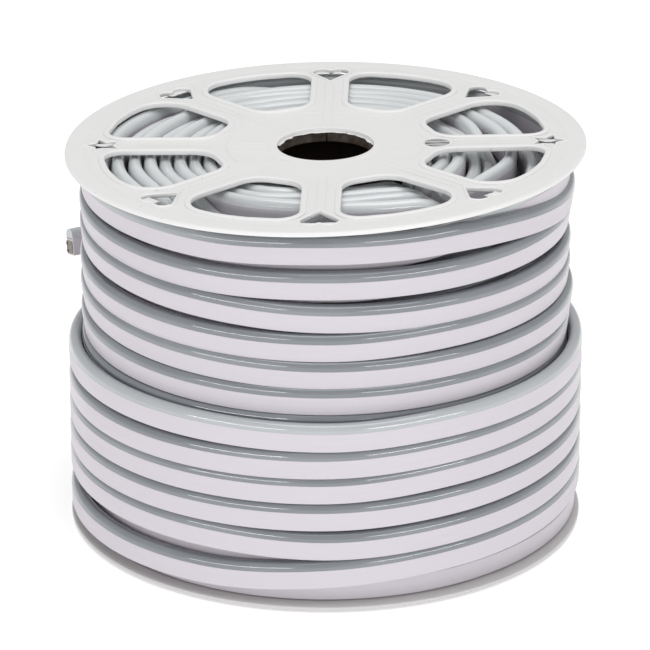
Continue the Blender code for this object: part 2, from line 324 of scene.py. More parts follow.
def circle_outline(radius, sides):
    return [polar(radius, k * math.tau / sides) for k in range(sides)]


def loose_mesh(curve):
    """Plain mesh of a curve, which is removed with it."""
    drawn = linked("drawn", curve)
    bpy.context.view_layer.update()
    mesh = bpy.data.meshes.new_from_object(drawn.evaluated_get(bpy.context.evaluated_depsgraph_get()))
    bpy.data.objects.remove(drawn, do_unlink=True)
    bpy.data.curves.remove(curve)
    return mesh


def outline_curve(outlines, closed=True, height=0.0):
    curve = bpy.data.curves.new("outline", "CURVE")
    curve.dimensions = "3D"
    for outline in outlines:
        spline = curve.splines.new("POLY")
        spline.points.add(len(outline) - 1)
        for point, spot in zip(spline.points, outline):
            point.co = (spot.x, spot.y, height, 1)
        spline.use_cyclic_u = closed
    return curve


def plate(outlines, thickness, edge):
    """Flat plate with rounded edges, lying on z = 0, with every outline after the first as a hole."""
    curve = outline_curve(outlines)
    curve.dimensions = "2D"
    curve.fill_mode = "BOTH"
    curve.bevel_depth = edge
    curve.bevel_resolution = 2
    curve.offset = -edge
    curve.extrude = thickness / 2 - edge
    mesh = loose_mesh(curve)
    mesh.transform(Matrix.Translation((0, 0, thickness / 2)))
    return mesh


def swept(outlines, section, height, closed=True):
    """Bar of a small flat section, given as (across, up) points, that follows some outlines."""
    shape = outline_curve([[Vector(point) for point in section]])
    shape.dimensions = "2D"
    bar = linked("section", shape)
    curve = outline_curve(outlines, closed, height)
    curve.bevel_mode = "OBJECT"
    curve.bevel_object = bar
    curve.use_fill_caps = not closed
    curve.twist_mode = "Z_UP"
    mesh = loose_mesh(curve)
    bpy.data.objects.remove(bar, do_unlink=True)
    bpy.data.curves.remove(shape)
    return mesh


def turned(profile, segments, start=0.0, angle=math.tau):
    """Ring turned round the axis from a closed profile of (radius, height) points."""
    mesh = bpy.data.meshes.new("turned")
    work = bmesh.new()
    corners = [work.verts.new((*polar(radius, start), height)) for radius, height in profile]
    edges = [work.edges.new((corners[k], corners[(k + 1) % len(corners)])) for k in range(len(corners))]
    whole = angle == math.tau
    if not whole:
        work.faces.new(corners)
    bmesh.ops.spin(
        work, geom=edges, cent=(0, 0, 0), axis=(0, 0, 1), angle=angle,
        steps=segments, use_merge=whole, use_duplicate=False,
    )
    if not whole:
        work.faces.new(list(work.verts)[-len(corners):])
    work.to_mesh(mesh)
    work.free()
    return mesh


def joined(meshes):
    """One mesh of several, each welded and with its faces outwards."""
    work = bmesh.new()
    for mesh in meshes:
        part = bmesh.new()
        part.from_mesh(mesh)
        bmesh.ops.remove_doubles(part, verts=part.verts, dist=1e-6)
        bmesh.ops.recalc_face_normals(part, faces=part.faces)
        part.to_mesh(mesh)
        part.free()
        work.from_mesh(mesh)
        bpy.data.meshes.remove(mesh)
    whole = bpy.data.meshes.new("joined")
    work.to_mesh(whole)
    work.free()
    return whole


def finished(name, mesh, material, sharp=35):
    """Shown object at the origin with a plain mesh, smooth where its faces meet gently."""
    mesh.name = name
    mesh.materials.clear()
    mesh.materials.append(material)
    mesh.shade_smooth()
    mesh.set_sharp_from_angle(angle=math.radians(sharp))
    return linked(name, mesh)


def ragged_ring(radius, least, most, seed, start, stop, points):
    """Outline of torn flash: an arc at the wall and a torn edge inside it."""
    chance = np.random.default_rng(seed)
    steps = np.linspace(start, stop, points)
    reach = np.interp(steps, np.linspace(start, stop, points // 4), chance.uniform(least, most, points // 4))
    reach = reach + chance.uniform(-0.12, 0.12, points) * (most - least)
    wall = [polar(radius, angle) for angle in steps]
    torn = [polar(radius - depth, angle) for angle, depth in zip(steps, reach)]
    return wall + torn[::-1]


def small_holes(spokes, grow):
    """Outlines of the hearts, the stars and the drive hole, larger by grow all round."""
    holes = [placed(heart_outline(grow), HEART_RADIUS, spokes[k]) for k in HEART_FLASH]
    holes += [placed(star_outline(grow), STAR_RADIUS, spokes[k]) for k in STAR_SPOKES]
    holes.append(placed(circle_outline(DRIVE_HOLE_DIAMETER / 2 + grow, 40), DRIVE_HOLE_DISTANCE, 0))
    return holes


def arch(half_width, height, root, points):
    """Section of a rounded bar that stands on a face and is sunk in it by root."""
    curve = [(half_width * math.cos(a), height * math.sin(a)) for a in np.linspace(0, math.pi, points)]
    return curve + [(-half_width, -root), (half_width, -root)]


def flange_mesh(seed):
    """One flange with its inner face at z = 0 and its outer face up."""
    windows = [window_outline(k, 0) for k in range(SPOKE_COUNT)]
    spokes = [k * math.tau / SPOKE_COUNT for k in range(SPOKE_COUNT)]
    rim = circle_outline(FLANGE_RADIUS, RIM_STEPS)
    bore = circle_outline(BORE_RADIUS, BORE_STEPS)
    body = plate([rim, bore, *windows, *small_holes(spokes, 0)], PLATE_THICKNESS, PLATE_EDGE)

    top = PLATE_THICKNESS
    half_bead = BEAD_WIDTH / 2
    bead = []
    for a in np.linspace(0, math.pi, 12):
        across = half_bead * math.copysign(abs(math.cos(a)) ** 0.7, math.cos(a))
        bead.append((across, BEAD_HEIGHT * math.sin(a) ** 0.7))
    bead += [(-half_bead, -BEAD_ROOT), (half_bead, -BEAD_ROOT)]
    window_beads = swept([window_outline(k, half_bead - 0.0001) for k in range(SPOKE_COUNT)], bead, top)
    border = arch(BORDER_HALF_WIDTH, BORDER_HEIGHT, BORDER_ROOT, 8)
    small_beads = swept(small_holes(spokes, BORDER_GAP), border, top)

    band_foot = FLANGE_RADIUS - RIM_BAND_WIDTH
    band_top = FLANGE_THICKNESS
    rim_band = turned([
        (band_foot, top - 0.0005),
        (band_foot, top + 0.00005),
        (band_foot + 0.0006, band_top - 0.0001),
        (band_foot + 0.0013, band_top),
        (FLANGE_RADIUS - 0.0016, band_top),
        (FLANGE_RADIUS - 0.0008, band_top - 0.0002),
        (FLANGE_RADIUS - 0.0002, band_top - 0.0007),
        (FLANGE_RADIUS - 0.00005, band_top - 0.0013),
        (FLANGE_RADIUS - 0.0007, top - 0.0012),
    ], RIM_STEPS)
    hub_foot = BORE_RADIUS + HUB_RING_WIDTH
    hub_ring = turned([
        (BORE_RADIUS + 0.0001, top - 0.0008),
        (BORE_RADIUS + 0.0002, band_top - 0.0003),
        (BORE_RADIUS + 0.0008, band_top),
        (hub_foot - 0.0010, band_top),
        (hub_foot - 0.0003, band_top - 0.00015),
        (hub_foot, top + 0.00005),
        (hub_foot, top - 0.0008),
    ], BORE_STEPS)
    collar = turned([
        (BORE_RADIUS, ROOT),
        (BORE_RADIUS + COLLAR_WALL, ROOT),
        (BORE_RADIUS + COLLAR_WALL, -COLLAR_DEPTH + 0.0004),
        (BORE_RADIUS + COLLAR_WALL - 0.0004, -COLLAR_DEPTH),
        (BORE_RADIUS + 0.0004, -COLLAR_DEPTH),
        (BORE_RADIUS, -COLLAR_DEPTH + 0.0004),
    ], BORE_STEPS, math.pi / 2 + COLLAR_SLIT / 2, math.tau - COLLAR_SLIT)
    spigot = turned([
        (SPIGOT_RADIUS - SPIGOT_WALL, ROOT),
        (SPIGOT_RADIUS, ROOT),
        (SPIGOT_RADIUS, -SPIGOT_DEPTH + 0.0005),
        (SPIGOT_RADIUS - 0.0005, -SPIGOT_DEPTH),
        (SPIGOT_RADIUS - SPIGOT_WALL, -SPIGOT_DEPTH),
    ], BORE_STEPS)

    ridge = arch(RIDGE_RADIUS, RIDGE_RADIUS * 0.6, RIDGE_ROOT, 5)
    ridge_lines = []
    for angle in spokes:
        outwards = polar(1, angle)
        sideways = polar(1, angle + math.pi / 2)
        for side in (-1, 1):
            offset = sideways * side * RIDGE_SPACING / 2
            ridge_lines.append([outwards * reach + offset for reach in RIDGE_REACH])
    ridges = swept(ridge_lines, ridge, top, closed=False)
    circles = swept([circle_outline(HUB_RIDGE_RADIUS, BORE_STEPS)], ridge, top)

    meshes = [body, window_beads, small_beads, rim_band, hub_ring, spigot, ridges, circles]
    flash = [(ragged_ring(BORE_RADIUS + 0.0002, 0.0006, 0.0026, seed, 0.15, 3.0, 110), 0.0002)]
    for k in STAR_SPOKES:
        for side in (-1, 1):
            tear = [Vector((x, side * y)) for x, y in STAR_FLASH]
            flash.append((placed(tear, STAR_RADIUS, spokes[k]), 0.0010))
    for k, (low, high, torn) in HEART_FLASH.items():
        chance = np.random.default_rng(seed + 10 + k)
        edge = [Vector((HEART_FLASH_ROOT, low))]
        for step in range(9):
            edge.append(Vector((torn - chance.uniform(0, 0.0008), low + (high - low) * step / 8)))
        edge.append(Vector((HEART_FLASH_ROOT, high)))
        flash.append((placed(edge, HEART_RADIUS, spokes[k]), 0.0006))
    for outline, height in flash:
        membrane = plate([outline], FLASH_THICKNESS, FLASH_THICKNESS / 4)
        membrane.transform(Matrix.Translation((0, 0, height)))
        meshes.append(membrane)
    return joined(meshes), joined([collar])


def grain_group():
    """Fine grain of moulded plastic: a height, a broad mottle and scattered specks."""
    tree = bpy.data.node_groups.new("moulded_grain", "ShaderNodeTree")
    sides = tree.interface
    sides.new_socket(name="Place", in_out="INPUT", socket_type="NodeSocketVector")
    for name in ("Grain Scale", "Mottle Scale", "Speck Scale"):
        sides.new_socket(name=name, in_out="INPUT", socket_type="NodeSocketFloat")
    for name in ("Height", "Mottle", "Specks"):
        sides.new_socket(name=name, in_out="OUTPUT", socket_type="NodeSocketFloat")
    given = add(tree, "NodeGroupInput").outputs
    result = add(tree, "NodeGroupOutput").inputs
    fine = noise(tree, given["Place"], given["Grain Scale"], 3.0, 0.6)
    broad = noise(tree, given["Place"], given["Mottle Scale"], 4.0, 0.55)
    spots = noise(tree, given["Place"], given["Speck Scale"], 1.0, 0.4)
    feed(tree, fine, result["Height"])
    feed(tree, scaled_range(tree, broad, 0.3, 0.7), result["Mottle"])
    feed(tree, scaled_range(tree, spots, 0.77, 0.82), result["Specks"])
    return tree


grain = grain_group()


def grained(tree, place, grain_scale, mottle_scale, speck_scale):
    made = add(tree, "ShaderNodeGroup", node_tree=grain)
    for source, socket in zip((place, grain_scale, mottle_scale, speck_scale), made.inputs):
        feed(tree, source, socket)
    return made.outputs


def flange_material():
    material, tree, shader = new_material("flange_plastic")
    effects = grained(tree, place_of(tree), 1500.0, 45.0, 260.0)
    colour = mixed(tree, calculate(tree, "MULTIPLY", effects["Mottle"], 0.35), FLANGE_WHITE, FLANGE_SHADE)
    parts = add(tree, "ShaderNodeSeparateXYZ")
    feed(tree, place_of(tree), parts.inputs[0])
    # Painted shade: the lower flange is painted darker towards the floor, where it stands in shade
    colour = mixed(tree, scaled_range(tree, parts.outputs["Z"], 0.0, 0.03, 1.0, 0.0), colour, FLANGE_LOW_SHADE)
    colour = mixed(tree, calculate(tree, "MULTIPLY", effects["Specks"], 0.5), colour, FLANGE_SPECK)
    feed(tree, colour, shader.inputs["Base Color"])
    feed(tree, scaled_range(tree, effects["Mottle"], 0.0, 1.0, 0.42, 0.52), shader.inputs["Roughness"])
    shader.inputs["Specular IOR Level"].default_value = 0.45
    bump(tree, effects["Height"], 0.00006, 0.5, shader)
    return material


def shaded_collar_material():
    """The same plastic, painted dark: painted shade for the deep shade down in the bore."""
    material, tree, shader = new_material("collar_painted_shade")
    effects = grained(tree, place_of(tree), 1500.0, 160.0, 260.0)
    feed(tree, mixed(tree, effects["Mottle"], COLLAR_PAINTED_SHADE, BOARD_LIGHT), shader.inputs["Base Color"])
    shader.inputs["Roughness"].default_value = 0.7
    bump(tree, effects["Height"], 0.00006, 0.5, shader)
    return material


flange_plastic = flange_material()
collar_painted_shade = shaded_collar_material()


def bent(mesh, place, lift):
    """Puts a mesh in its place and bends its rim up on the side that the winding pushes."""
    mesh.transform(place)
    for vertex in mesh.vertices:
        spot = vertex.co
        radius = math.hypot(spot.x, spot.y)
        facing = max(0.0, math.cos(math.atan2(spot.y, spot.x) - WARP_ANGLE))
        spot.z += lift * (radius / WINDOW_OUTER_RADIUS) ** 1.5 * facing ** 2


def make_flange(name, node, seed, place, lift):
    body, collar = flange_mesh(seed)
    halves = ((name, body, flange_plastic), (name + "_collar", collar, collar_painted_shade))
    for part_name, mesh, material in halves:
        bent(mesh, place, lift)
        made = finished(part_name, mesh, material)
        weighted = made.modifiers.new("flat_faces", "WEIGHTED_NORMAL")
        weighted.keep_sharp = True
        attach(made, "root")
        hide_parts(node)


upper_place = (
    Matrix.Translation((0, 0, UPPER_INNER_FACE))
    @ Matrix.Rotation(UPPER_LEAN, 4, "Y")
    @ Matrix.Rotation(UPPER_TURN, 4, "Z")
)
lower_place = Matrix.Translation((0, 0, LOWER_INNER_FACE)) @ Matrix.Rotation(math.pi, 4, "X")
make_flange("upper_flange", "reel_flange_top", 3, upper_place, WARP_LIFT)
make_flange("lower_flange", "reel_flange_bottom", 5, lower_place, 0.0)


# Wound strip. One length of extruded PVC, 8 mm wide: a white channel below and a milky dome, the light face,
# on top of it. It is wound on edge, up one layer and down the next, and its dome always looks up. The last
# layer covers only the lower half, and its end springs off the back of the reel.
STRIP_WIDTH = 0.008
WALL_HEIGHT = 0.0110
DOME_HEIGHT = 0.0050
DOME_GAP = 0.00012          # how far the dome keeps inside the channel's width
WALL_LIP = 0.0007           # thickness of the channel's walls beside the dome
LAYER_PITCH = 0.0086
FIRST_LAYER = 0.0596        # radius of the middle of the innermost layer
TURN_PITCH = 0.0164
TOP_WALL = 0.2170           # height of the channel's edge in the top turns
BOTTOM_WALL = 0.0142        # and in the lowest turns
CROSSING = 50.0             # degrees that the strip takes to cross to the next layer
INNER_STEP = 3.0            # degrees between the stations of the inner turns
OUTER_STEP = 2.5
# The top turn of each inner layer, from the core outwards, as (degrees, radius in mm, mm below the full
# height). It sags or climbs where the strip was wound loosely, and ends under the front right spoke.
TOP_TURNS = (
    ((-32, 59.6, 16), (0, 59.6, 12), (30, 59.6, 6), (60, 59.6, 1), (150, 59.6, 1), (180, 59.4, 1),
     (312, 59.4, 1)),
    ((-32, 67.5, 0), (-2, 68.5, 1), (15, 68.5, 6), (42, 68.5, 14), (56, 68.2, 1), (123, 68.2, 1),
     (165, 66.0, 1), (185, 66.8, 1), (205, 66.7, 1), (227, 68.0, 0), (240, 67.5, 0), (260, 63.0, 0),
     (279, 61.8, 0), (300, 63.5, 1), (312, 67.0, 1)),
    ((-32, 77.0, 0), (-2, 77.0, 0), (15, 77.0, 5), (42, 77.0, 11), (56, 76.8, 0), (136, 77.2, 0),
     (165, 74.1, 0), (185, 75.2, 1), (205, 75.0, 1), (227, 77.5, 0), (240, 76.9, 0), (248, 74.4, 0),
     (260, 71.2, 0), (279, 70.3, 0), (290, 70.1, 0), (300, 72.5, 0), (311, 77.0, 0)),
    ((-32, 85.5, 8), (-2, 86.0, 7), (15, 86.0, 4), (42, 86.0, 3), (56, 85.6, 0), (136, 85.2, 2),
     (165, 83.6, 2), (185, 83.6, 0), (205, 83.3, 0), (227, 86.0, 0), (240, 85.4, 0), (248, 84.1, 0),
     (260, 82.6, 0), (279, 79.9, 0), (290, 80.0, 0), (300, 82.5, 0), (312, 86.0, 3)),
    ((-32, 93.0, 10), (-2, 94.0, 9), (15, 93.0, 7), (42, 92.0, 5), (56, 94.0, 0), (123, 94.0, 0),
     (136, 92.8, 0), (165, 91.8, 0), (180, 92.1, 1), (210, 91.7, 1), (225, 93.0, 9), (240, 94.0, 16),
     (312, 94.0, 18)),
    ((-32, 102.6, 12), (-6, 98.0, 11), (12, 92.0, 1), (15, 92.5, 0), (42, 101.0, 0), (56, 102.3, 0),
     (123, 102.6, 0), (136, 101.2, 2.5), (160, 100.8, 3), (185, 100.7, 0), (205, 100.1, 0),
     (226, 101.0, 13), (240, 102.6, 16), (312, 102.6, 17)),
    ((-28, 98.5, 0), (-5, 105.5, 0), (15, 108.0, 0), (42, 109.5, 0), (56, 111.0, 0), (123, 111.0, 0),
     (136, 109.3, 0), (160, 109.3, 0), (185, 109.7, 0), (205, 108.7, 0), (226, 109.5, 14), (240, 105.0, 17),
     (258, 90.0, 13), (272, 86.0, 2), (279, 87.2, 0), (290, 90.2, 0), (300, 93.7, 0), (311, 97.7, 0)),
    ((-32, 119.8, 7), (-4, 119.0, 6), (12, 116.5, 2), (15, 116.5, 1), (42, 117.0, 0), (56, 119.5, 0),
     (123, 119.8, 0), (136, 118.2, 3.5), (160, 118.0, 3.5), (185, 119.4, 0), (205, 118.2, 0),
     (226, 119.8, 14), (240, 119.8, 17), (312, 119.8, 17)),
)
TOP_RINGS = 3               # turns of each inner layer drawn below its top
LAST_CLIMB = -46.0          # degrees at which those turns climb from one to the next, under a spoke
CLIMB_LENGTH = 22.0
SLOPE_OF_TOP = 0.015        # how much higher everything sits for each metre to the right
# Degrees at which the strip crosses from an even layer to the odd one outside it, at the bottom. It is drawn
# as far as BOTTOM_REACH on both sides of that, and starts to climb by a turn at each of BOTTOM_CLIMBS.
BOTTOM_CROSSINGS = (30.0, 140.0, -80.0, -160.0)
BOTTOM_REACH = 820
BOTTOM_CLIMBS = (330, 690)
# Height in mm of the channel's edge at the left front, front and right front of each turn that shows
UPPER_TURNS = (
    (214.4, 216.8, 216.9), (194.9, 196.0, 196.0), (178.9, 176.5, 175.9),
    (159.8, 159.3, 160.9), (144.2, 143.1, 143.6), (127.9, 127.5, 127.9),
)
# Height in mm of the channel's edge along the last turns of the ninth layer, up to the crossing to the tenth
NINTH_LAYER = (
    (-2250, 125), (-1890, 141.4), (-1530, 157.8), (-1170, 174.2), (-1010, 184), (-810, 190.6),
    (-765, 196), (-725, 203), (-690, 203), (-665, 200), (-640, 203), (-620, 211), (-605, 215.5),
    (-570, 215.5), (-545, 214.5), (-520, 210.5), (-490, 207.5), (-450, 207), (-428, 210.5),
    (-408, 217), (-390, 221.5), (-360, 221.5), (-330, 219.8), (-300, 218), (-260, 217),
    (-230, 215.5), (-160, 214.4),
)
# The first turn of the tenth layer is pushed down and out where the next one lies over it, at the right
FIRST_SAG = ((-48, 215.4), (-30, 211.0), (-14, 207.2), (0, 206.0), (60, 202.5), (150, 198.5))
HIDDEN_TURNS = 7            # turns of the tenth layer behind the last one
# The lowest turn of the last layer, which slips out under the next one at the right front
FIRST_LOW_TURN = ((-375, 14.4), (-340, 14.6), (-270, 16.6), (-180, 19.2))
# The same three heights for each other turn of the last layer
LOWER_TURNS = (
    (20.8, 25.3, 29.9), (44.0, 42.5, 45.2), (59.9, 60.4, 62.9),
    (76.3, 76.9, 80.5), (91.4, 92.1, 95.1), (108.9, 108.3, 110.8),
)
FRONT_ANGLES = (-119, -90, -61)
UPPER_TILT = math.radians(8)
LOWER_TILT = math.radians(1.5)
# Changes along the outer strip, as (first degree, degrees that the change takes). TO_LAST counts from the
# last layer's start, and LAST_TURN_BRIGHT from the last turn's.
TO_TENTH = (-430, CROSSING)
TO_LAST = (-415, 80)
TILT_GROWS = (-250, 60)
TILT_ENDS = (360 * 5.4, 200)
# The BRIGHT changes set where the domes are painted lighter, as painted light
BRIGHT_GROWS = (-700, 60)
BRIGHT_FADES = (-430, 60)
BRIGHT_ENDS = (-160, 60)
LAST_TURN_BRIGHT = (-250, 60)
# Two soft bulges, as (middle degree, half width in degrees, metres)
TURN_BULGE = (360 * 4.5 - 175, 40, 0.0020)
FIRST_BULGE = (-5, 32, 0.0018)
# Height of the channel's edge along the end of the last turn, as (degrees, metres)
TAIL_HEIGHTS = ((22,0.1120), (56, 0.1148), (90, 0.1243), (122.5, 0.1352))
TAIL_LEAVE_ANGLE = 122.5
TAIL_FREE_LENGTH = 0.0875
TAIL_END_WALL = 0.1400
TAIL_END_TILT = math.radians(9)


def through(knots, angles):
    """Smooth values at some angles, through given (angle, value) knots and never past them."""
    places = np.array([knot[0] for knot in knots], float)
    values = np.array([knot[1] for knot in knots], float)
    steps = np.diff(values) / np.diff(places)
    product = steps[:-1] * steps[1:]
    total = np.where(product > 0, steps[:-1] + steps[1:], 1.0)
    slopes = np.concatenate([steps[:1], np.where(product > 0, 2 * product / total, 0.0), steps[-1:]])
    index = np.clip(np.searchsorted(places, angles, side="right") - 1, 0, len(places) - 2)
    span = places[index + 1] - places[index]
    t = np.clip((angles - places[index]) / span, 0, 1)
    first = values[index] * (1 + 2 * t) * (1 - t) ** 2 + slopes[index] * span * t * (1 - t) ** 2
    return first + values[index + 1] * t * t * (3 - 2 * t) - slopes[index + 1] * span * t * t * (1 - t)


def eased(t):
    t = np.clip(t, 0, 1)
    return t * t * (3 - 2 * t)


def changed(angles, change):
    """Share of a (first degree, length) change that is done at some angles."""
    first, length = change
    return eased((angles - first) / length)


def bulge(angles, shape):
    middle, half_width, height = shape
    return height * np.exp(-(((angles - middle) / half_width) ** 2))


def layer_radius(layer):
    return FIRST_LAYER + (layer - 1) * LAYER_PITCH


def stations(angles, radii, walls, tilts, lit_shares):
    """Foot of the strip at each angle, with the values that its sweep and its finish read."""
    turns = np.radians(angles)
    foot = np.stack([radii * np.cos(turns), radii * np.sin(turns), walls - WALL_HEIGHT], axis=1)
    return {"foot": foot, "lean": tilts, "lit_share": lit_shares}


def wobble_of(angles, chance):
    """Small rise and fall of a hand-laid turn."""
    total = np.zeros(len(angles))
    for waves in (1, 2, 3, 5):
        height = chance.uniform(0.0001, 0.0004)
        phase = chance.uniform(0, math.tau)
        total += height * np.sin(np.radians(angles) * waves * 0.97 + phase)
    return total


def top_course(layer, knots, chance):
    """Upper turns of an inner layer: the top one follows its knots, the ones below it sag where it does."""
    around = [(knot[0] + 360 * turn, knot[1] / 1000, knot[2] / 1000) for turn in (-1, 0, 1) for knot in knots]
    angles = np.arange(LAST_CLIMB, LAST_CLIMB + 360 * TOP_RINGS + INNER_STEP, INNER_STEP)
    home = (angles - LAST_CLIMB) % 360 + LAST_CLIMB
    drops = through([(knot[0], knot[2]) for knot in around], home)
    sideways = through([(knot[0], knot[1]) for knot in around], home)
    below = np.zeros(len(angles))
    for ring in range(1, TOP_RINGS):
        below += eased((angles - LAST_CLIMB - 360 * ring) / CLIMB_LENGTH + 0.5)
    top_share = 1 - np.clip(below, 0, 1)
    plain = layer_radius(layer)
    radii = plain + (sideways - plain) * top_share
    resting = np.where(np.abs(sideways - plain) > LAYER_PITCH / 2, TURN_PITCH, drops)
    lower_drops = np.maximum(np.minimum(drops, TURN_PITCH), resting * (resting > drops))
    sag = drops * top_share + (1 - top_share) * lower_drops
    walls = TOP_WALL - sag - TURN_PITCH * below + wobble_of(home, chance) - 0.0003
    walls = walls + SLOPE_OF_TOP * radii * np.cos(np.radians(angles))
    # Painted light: the top turn's dome is painted lighter where it lies open to the light above, less where
    # it has dropped, and the turns below it get painted shade
    lit_shares = top_share * (1 - eased((drops - 0.006) / 0.008) * 0.8)
    return stations(angles, radii, walls, np.zeros(len(angles)), lit_shares)


def bottom_course(layer, middle, chance):
    """Lowest turns of two layers that lie flat on the flange, and the crossing from one to the other."""
    angles = np.arange(middle - BOTTOM_REACH, middle + BOTTOM_REACH + INNER_STEP, INNER_STEP)
    away = angles - middle
    radii = layer_radius(layer) + LAYER_PITCH * eased(away / CROSSING + 0.5)
    climbs = sum(changed(np.abs(away), (first, 60)) for first in BOTTOM_CLIMBS)
    walls = BOTTOM_WALL + TURN_PITCH * climbs + np.abs(wobble_of(angles, chance))
    return stations(angles, radii, walls, np.zeros(len(angles)), np.zeros(len(angles)))


def inner_courses():
    chance = np.random.default_rng(11)
    courses = [top_course(k + 1, knots, chance) for k, knots in enumerate(TOP_TURNS)]
    courses += [bottom_course(2 * k + 2, middle, chance) for k, middle in enumerate(BOTTOM_CROSSINGS)]
    lowest = layer_radius(1)
    angles = np.arange(0, 360 + INNER_STEP, INNER_STEP)
    flat = np.full(len(angles), lowest)
    courses.append(stations(angles, flat, BOTTOM_WALL + 0 * flat, 0 * flat, 0 * flat))
    return courses


def outer_course():
    """Top of layer 9, all of layers 10 and 11, and the free end, as one length of strip."""
    walls = [(angle, height / 1000) for angle, height in NINTH_LAYER + FIRST_SAG]
    for turn, heights in enumerate(UPPER_TURNS):
        for angle, height in zip(FRONT_ANGLES, heights):
            walls.append((360 * turn + angle, height / 1000))
    walls.sort()
    last = UPPER_TURNS[-1][1] / 1000
    drop = (last - BOTTOM_WALL) / HIDDEN_TURNS
    shown = len(UPPER_TURNS)
    for turn in range(1, HIDDEN_TURNS + 1):
        for angle in FRONT_ANGLES:
            walls.append((360 * (shown - 1 + turn) + angle, last - drop * turn))
    start = 360 * (shown + HIDDEN_TURNS)
    for angle, height in FIRST_LOW_TURN:
        walls.append((start + angle, height / 1000))
    for turn, heights in enumerate(LOWER_TURNS):
        for angle, height in zip(FRONT_ANGLES, heights):
            walls.append((start + 360 * turn + angle, height / 1000))
    last_turn = start + 360 * (len(LOWER_TURNS) - 1)
    for angle, height in TAIL_HEIGHTS:
        walls.append((last_turn + angle, height))
    angles = np.arange(NINTH_LAYER[0][0], last_turn + TAIL_LEAVE_ANGLE + 1, OUTER_STEP)
    heights = through(walls, angles)
    second_cross = changed(angles - start, TO_LAST)
    radii = layer_radius(9) + LAYER_PITCH * (changed(angles, TO_TENTH) + second_cross)
    upper = changed(angles, TILT_GROWS) * (1 - changed(angles, TILT_ENDS))
    radii = radii + bulge(angles, TURN_BULGE) - 0.0004 * upper + bulge(angles, FIRST_BULGE)
    tilts = UPPER_TILT * upper + LOWER_TILT * second_cross
    # Painted light along the outer strip: its domes are painted lighter where they lie open to the light
    # above, darker where a turn covers them, and the free end half light
    lit_shares = changed(angles, BRIGHT_GROWS) * (1 - 0.55 * changed(angles, BRIGHT_FADES))
    lit_shares = lit_shares * (1 - changed(angles, BRIGHT_ENDS))
    lit_shares = np.maximum(lit_shares, 0.45 * changed(angles - last_turn, LAST_TURN_BRIGHT))
    straight = np.linspace(0, 1, 24)[1:]
    foot = stations(angles, radii, heights, tilts, lit_shares)["foot"]
    leave = foot[-1]
    turn = math.radians(TAIL_LEAVE_ANGLE)
    forward = np.array([-math.sin(turn), math.cos(turn), 0])
    free = leave + forward * TAIL_FREE_LENGTH * straight[:, None]
    climb = TAIL_END_WALL - heights[-1]
    free[:, 2] = leave[2] + climb * (1 - (1 - straight) ** 1.6)
    tilts = np.concatenate([tilts, tilts[-1] + (TAIL_END_TILT - tilts[-1]) * eased(straight)])
    lit_shares = np.concatenate([lit_shares, np.full(len(straight), 0.6)])
    return {"foot": np.concatenate([foot, free]), "lean": tilts, "lit_share": lit_shares}


def course_object(name, courses):
    """Mesh of edges along some courses, with their values and the length along them."""
    points = []
    edges = []
    values = {"lean": [], "lit_share": [], "along": []}
    for course in courses:
        base = len(points)
        foot = course["foot"]
        points.extend(foot.tolist())
        edges.extend((base + k, base + k + 1) for k in range(len(foot) - 1))
        steps = np.linalg.norm(np.diff(foot, axis=0), axis=1)
        shift = 3.7 * base / 100    # so that no two courses have the same grain
        values["along"].extend(np.concatenate([[0], np.cumsum(steps)]) + shift)
        values["lean"].extend(course["lean"])
        values["lit_share"].extend(course["lit_share"])
    mesh = bpy.data.meshes.new(name)
    mesh.from_pydata(points, edges, [])
    for key, numbers in values.items():
        mesh.attributes.new(key, "FLOAT", "POINT").data.foreach_set("value", np.array(numbers, float))
    return linked(name, mesh)


def section_object(name, outline):
    """Closed section of (across, up) points, with the distance round it."""
    mesh = bpy.data.meshes.new(name)
    count = len(outline)
    mesh.from_pydata([(x, -y, 0) for x, y in outline], [(k, (k + 1) % count) for k in range(count)], [])
    around = [0.0]
    for k in range(1, count):
        around.append(around[-1] + math.dist(outline[k - 1], outline[k]))
    mesh.attributes.new("across", "FLOAT", "POINT").data.foreach_set("value", around)
    return linked(name, mesh)


def channel_outline():
    half = STRIP_WIDTH / 2
    edge = 0.0006
    inner = half - WALL_LIP
    corner = np.linspace(0, math.pi / 2, 4)
    right = [(half - edge + edge * math.sin(a), edge - edge * math.cos(a)) for a in corner]
    right += [
        (half, WALL_HEIGHT - 0.0002),
        (half - 0.0002, WALL_HEIGHT),
        (inner, WALL_HEIGHT),
        (inner, WALL_HEIGHT - 0.001),
    ]
    left = [(-x, y) for x, y in reversed(right)]
    return left[4:] + right + left[:4]


def dome_outline():
    half = STRIP_WIDTH / 2 - DOME_GAP
    low = WALL_HEIGHT + DOME_GAP
    outline = [(-half + 0.0006, WALL_HEIGHT - 0.0006), (half - 0.0006, WALL_HEIGHT - 0.0006)]
    for a in np.linspace(0, math.pi, 15):
        side = math.copysign(abs(math.cos(a)) ** 0.86, math.cos(a))
        outline.append((half * side, low + (DOME_HEIGHT - DOME_GAP) * math.sin(a) ** 0.92))
    return outline


